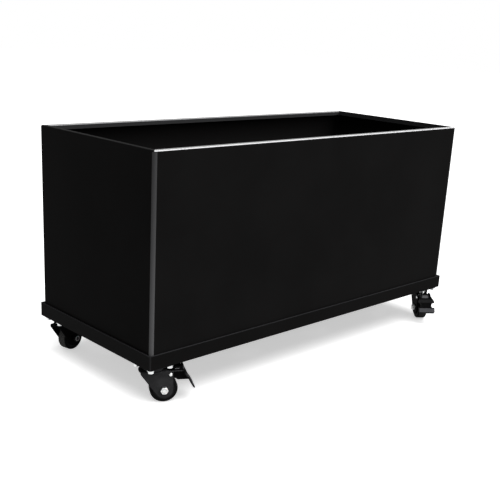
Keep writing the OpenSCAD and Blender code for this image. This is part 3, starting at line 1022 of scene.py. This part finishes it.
@dataclass
class Caster:
    """One swivel caster, dressed about its own kingpin and axle."""

    corner: Corner
    nodes: dict[str, bpy.types.Object]
    # Whether the fork takes the lighter, lit tone, as painted light; otherwise a shaded copy of the same
    # coat.
    fork_painted_lit: bool = False
    collar_bore: float = 4.1 * MM
    collar_r: float = 5.4 * MM
    collar_long: float = 1.5 * MM
    collar_sunk: float = 0.9 * MM
    collar_round: float = 0.3 * MM
    rivet_r: float = 2.4 * MM
    rivet_high: float = 1.1 * MM
    rivet_inset: float = 0.8 * MM
    rivet_crown: tuple[float, float] = (0.35 * MM, 0.12 * MM)
    rivet_sunk: float = 0.9 * MM
    rivet_out: float = 14.0 * MM

    @property
    def tag(self) -> str:
        """The start of this caster's material names."""
        return "".join(word.capitalize() for word in self.corner.value.split("_"))

    def node(self, part: str) -> bpy.types.Object:
        """The CAD node of one of this caster's parts."""
        return self.nodes[f"{self.corner.value}_{part}"]

    def middle(self, part: str) -> Vector:
        """The middle of a part's box."""
        low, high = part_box(f"{self.corner.value}_{part}")
        return (low + high) / 2

    @property
    def trail(self) -> Vector:
        """The level direction from the kingpin to the axle."""
        way = self.middle("tyre") - self.middle("kingpin")
        return Vector((way.x, way.y, 0.0)).normalized()

    @property
    def nut_side(self) -> Vector:
        """The direction of the axle towards its nut."""
        return self.trail.cross(UP)

    def reach(self, part: str, way: Vector) -> float:
        """How far a part reaches from the wheel's centre.

        Args:
            part: One of this caster's parts.
            way: A unit direction.

        Returns:
            The distance along it.
        """
        centre = self.middle("tyre")
        return max((v.co - centre).dot(way) for v in self.node(part).data.vertices)

    def lock_collar(self, near: float = 0.1 * MM) -> bpy.types.Object:
        """Models the nylon collar that shows in the mouth of the axle's lock nut.

        Args:
            near: How far apart two measures may be to count as the same.

        Returns:
            The collar, in its place.
        """

        def round_the_mouth(a: Vector, b: Vector) -> bool:
            """Whether an edge runs round the collar's outer face."""
            return min(a.z, b.z) > self.collar_long - near and abs(a.xy.length - b.xy.length) < near

        collar = Bench.rod(f"{self.corner.value}_lock_collar", self.collar_r, self.collar_long, sides=40)
        Bench.pick_faces(collar, lambda middle, normal: abs(normal.z) > 0.9)
        bpy.ops.mesh.inset(thickness=self.collar_r - self.collar_bore, use_individual=True)
        bpy.ops.mesh.bridge_edge_loops()
        Bench.pick_edges(collar, round_the_mouth)
        bpy.ops.mesh.bevel(offset=self.collar_round, segments=3, affect="EDGES")
        bpy.ops.object.mode_set(mode="OBJECT")
        start = self.reach("axle_nut", self.nut_side) - self.collar_sunk
        Bench.settle(collar, along(self.nut_side, self.middle("tyre") + self.nut_side * start))
        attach(collar, f"{self.corner.value}_swivel")
        return collar

    def spring_rivet(self) -> bpy.types.Object:
        """Models the low rivet head that holds the leaf spring to the fork's roof.

        Returns:
            The rivet head, in its place.
        """
        head = Bench.rod(f"{self.corner.value}_spring_rivet", self.rivet_r, self.rivet_high, sides=28)
        Bench.pick_faces(head, lambda middle, normal: normal.z > 0.9)
        for rise in self.rivet_crown:
            bpy.ops.mesh.inset(thickness=self.rivet_inset)
            bpy.ops.transform.translate(value=(0.0, 0.0, rise))
        bpy.ops.object.mode_set(mode="OBJECT")
        spot = self.middle("kingpin") + self.trail * self.rivet_out
        spot.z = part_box(f"{self.corner.value}_brake_spring")[1].z - self.rivet_sunk
        Bench.settle(head, along(-UP, spot))
        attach(head, f"{self.corner.value}_swivel")
        return head

    def coat(self, finish: bpy.types.Material, *parts: str) -> list[str]:
        """Gives some of the caster's CAD parts their material.

        Args:
            finish: The material.
            parts: The parts, without the corner's name.

        Returns:
            The names of their nodes.
        """
        Bench.coat([self.node(part) for part in parts], finish)
        return [f"{self.corner.value}_{part}" for part in parts]

    def dress_wheel(self, angle: float) -> list[str]:
        """Dresses the tyre and the core.

        Args:
            angle: The trail's direction, in radians from +X.

        Returns:
            The names of their nodes.
        """
        rubber = TyreRubber if self.corner.braked else PaleTyre
        centre = self.middle("tyre")
        tyre = rubber(f"{self.tag}Tyre", centre=centre, angle=angle)
        core = MouldedPlastic(f"{self.tag}Core", centre=centre, angle=angle)
        return self.coat(tyre.material(), "tyre") + self.coat(core.material(), "wheel_core")

    def dress_brake(self, zinc: bpy.types.Material, angle: float) -> list[str]:
        """Dresses the foot brake and adds its spring's rivet.

        Args:
            zinc: The caster's zinc.
            angle: The trail's direction, in radians from +X.

        Returns:
            The names of the pieces that were dressed or made.
        """
        pedal = PedalCoat(f"{self.tag}PedalCoat", pivot=self.middle("pedal_rivet"), angle=angle)
        shoe = ShoePlastic(f"{self.tag}Shoe", centre=self.middle("tyre"), angle=angle)
        spring = SpringSteel(f"{self.tag}Spring").material()
        head = self.spring_rivet()
        Bench.coat([head], spring)
        return [
            *self.coat(pedal.material(), "pedal"),
            *self.coat(zinc, "pedal_rivet"),
            *self.coat(shoe.material(), "brake_shoe"),
            *self.coat(spring, "brake_spring"),
            head.name,
        ]

    def dress(self) -> list[str]:
        """Gives every part of the caster its finish and adds the small pieces.

        Returns:
            The names of the pieces that were dressed or made.
        """
        angle = math.atan2(self.trail.y, self.trail.x)
        # Painted light and shade: the lit fork tone or the shaded copy.
        pressed = PressedSteel if self.fork_painted_lit else ShadedForkSteel
        zinc = Metal(f"{self.tag}Zinc").material()
        # The back casters' axles are darker than the front ones' zinc.
        axle = zinc if self.corner.braked else DarkAxleMetal(f"{self.tag}DarkAxleMetal").material()
        done = self.coat(pressed(f"{self.tag}ForkCoat").material(), "plate", "fork")
        done += self.coat(zinc, "kingpin", "axle_sleeve")
        done += self.coat(axle, "axle_bolt", "axle_nut")
        done += self.coat(BallSteel(f"{self.tag}BallSteel").material(), "balls")
        done += self.dress_wheel(angle)
        collar = self.lock_collar()
        Bench.coat([collar], Nylon(f"{self.tag}Nylon").material())
        done.append(collar.name)
        if self.corner.braked:
            done += self.dress_brake(zinc, angle)
        return done


# ---- Studio ----


@dataclass(frozen=True)
class SoftLight:
    """A wide lamp, far away, that may spare the floor so that it casts no second shadow there."""

    name: str
    source: tuple[float, float, float]
    spread: float
    strength: float
    spares_floor: bool = False

    def hang(self, floor: bpy.types.Object) -> None:
        """Adds the light to the scene.

        Args:
            floor: The floor that the light may spare.
        """
        light = bpy.data.lights.new(self.name, "SUN")
        light.angle = math.radians(self.spread)
        light.energy = self.strength
        lamp = bpy.data.objects.new(self.name, light)
        bpy.context.scene.collection.objects.link(lamp)
        lamp.location = self.source
        lamp.rotation_euler = Vector(self.source).to_track_quat("Z", "Y").to_euler()
        if self.spares_floor:
            spared = bpy.data.collections.new(f"{self.name}Spares")
            spared.objects.link(floor)
            lamp.light_linking.receiver_collection = spared
            spared.collection_objects[0].light_linking.link_state = "EXCLUDE"


@dataclass
class Studio:
    """The pale floor, the white surroundings, the lights and the camera.

    The camera's angles are in degrees. The floor has one white for the camera and a greyer one for
    the light that bounces off it, and glows a little, so that its shadows are pale.
    """

    lights: Sequence[SoftLight] = (
        SoftLight("Overhead", (0.0, -0.9, 3.0), 60.0, 3.0),
        SoftLight("FrontRight", (1.6, -3.0, 2.2), 50.0, 2.3, spares_floor=True),
    )
    place: tuple[float, float, float] = (-1.327193, -1.319682, 0.694035)
    yaw: float = 44.083
    pitch: float = -17.739
    roll: float = 2.991
    focal_px: float = 837.166
    centre_px: tuple[float, float] = (242.949, 291.819)
    picture_px: float = 500.0
    sensor_mm: float = 36.0
    sky_light: float = 0.25
    floor_half: float = 14.0
    floor_white: float = 0.95
    floor_bounce: float = 0.55
    floor_glow: float = 0.535

    @staticmethod
    def seen(graph: Graph) -> Wire:
        """1 for a ray that shows the surroundings to the eye, straight, in gloss or through glass.

        Args:
            graph: The graph that asks.

        Returns:
            The mask.
        """
        path = graph.node("ShaderNodeLightPath", {}, {}).outputs
        wires = [Wire(graph, path[n]) for n in ("Is Camera Ray", "Is Glossy Ray", "Is Transmission Ray")]
        return wires[0].most(wires[1]).most(wires[2])

    def surroundings(self) -> None:
        """Builds a world that lights softly and looks white."""
        world = bpy.data.worlds.new("Surroundings")
        bpy.context.scene.world = world
        world.use_nodes = True
        graph = Graph(world.node_tree)
        strength = self.seen(graph) * (1.0 - self.sky_light) + self.sky_light
        back = graph.node("ShaderNodeBackground", {}, {"Color": (*WHITE, 1.0), "Strength": strength})
        graph.node("ShaderNodeOutputWorld", {}, {"Surface": back.outputs[0]})

    def floor_finish(self) -> bpy.types.Material:
        """Builds the floor's material.

        Returns:
            A material that looks white outside the planter's shadow.
        """
        made = bpy.data.materials.new("PaleFloor")
        made.use_nodes = True
        graph = Graph(made.node_tree)
        glow = self.seen(graph) * self.floor_glow
        direct = Wire(graph, graph.node("ShaderNodeLightPath", {}, {}).outputs["Is Camera Ray"])
        white = graph.blend(direct, toned(WHITE, self.floor_bounce), toned(WHITE, self.floor_white))
        shader = graph.node("ShaderNodeBsdfDiffuse", {}, {"Color": white})
        light = graph.node("ShaderNodeEmission", {}, {"Color": (*WHITE, 1.0), "Strength": glow})
        both = graph.node("ShaderNodeAddShader", {}, {0: shader.outputs[0], 1: light.outputs[0]})
        graph.node("ShaderNodeOutputMaterial", {}, {"Surface": both.outputs[0]})
        return made

    def floor(self) -> bpy.types.Object:
        """Lays the pale floor.

        Returns:
            The floor.
        """
        Bench.clear()
        bpy.ops.mesh.primitive_plane_add(size=2 * self.floor_half)
        piece = bpy.context.object
        piece.name = "StudioFloor"
        piece.data.materials.append(self.floor_finish())
        return piece

    def camera(self) -> None:
        """Sets the camera where the photograph was taken from."""
        yaw, pitch, roll = (math.radians(v) for v in (self.yaw, self.pitch, self.roll))
        ahead = Vector((math.sin(yaw) * math.cos(pitch), math.cos(yaw) * math.cos(pitch), math.sin(pitch)))
        level = Vector((math.cos(yaw), -math.sin(yaw), 0.0))
        upright = level.cross(ahead)
        right = level * math.cos(roll) + upright * math.sin(roll)
        up = upright * math.cos(roll) - level * math.sin(roll)
        lens = bpy.data.cameras.new("Camera")
        lens.sensor_fit = "HORIZONTAL"
        lens.sensor_width = self.sensor_mm
        lens.lens = self.focal_px / self.picture_px * self.sensor_mm
        half = self.picture_px / 2
        lens.shift_x = (half - self.centre_px[0]) / self.picture_px
        lens.shift_y = (self.centre_px[1] - half) / self.picture_px
        lens.dof.use_dof = False
        eye = bpy.data.objects.new("Camera", lens)
        bpy.context.scene.collection.objects.link(eye)
        basis = Matrix((right, up, -ahead)).transposed().to_4x4()
        eye.matrix_world = Matrix.Translation(Vector(self.place)) @ basis
        bpy.context.scene.camera = eye

    def build(self) -> None:
        """Sets up the whole studio."""
        bpy.context.scene.view_settings.view_transform = "Standard"
        self.camera()
        self.surroundings()
        floor = self.floor()
        for light in self.lights:
            light.hang(floor)


def main() -> None:
    """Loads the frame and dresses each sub-assembly in order."""
    logging.basicConfig(level=logging.INFO, format="%(message)s")
    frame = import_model()
    nodes = frame["nodes"]
    Studio().build()
    # The front-left fork takes the lit tone, as painted light.
    casters = [Caster(corner, nodes, fork_painted_lit=corner is Corner.FRONT_LEFT) for corner in Corner]
    parts = [PlanterBox(nodes), Tray(nodes), *casters]
    for part in parts:
        for name in part.dress():
            LOG.info("%s: %s", type(part).__name__, name)


if __name__ == "__main__":
    main()
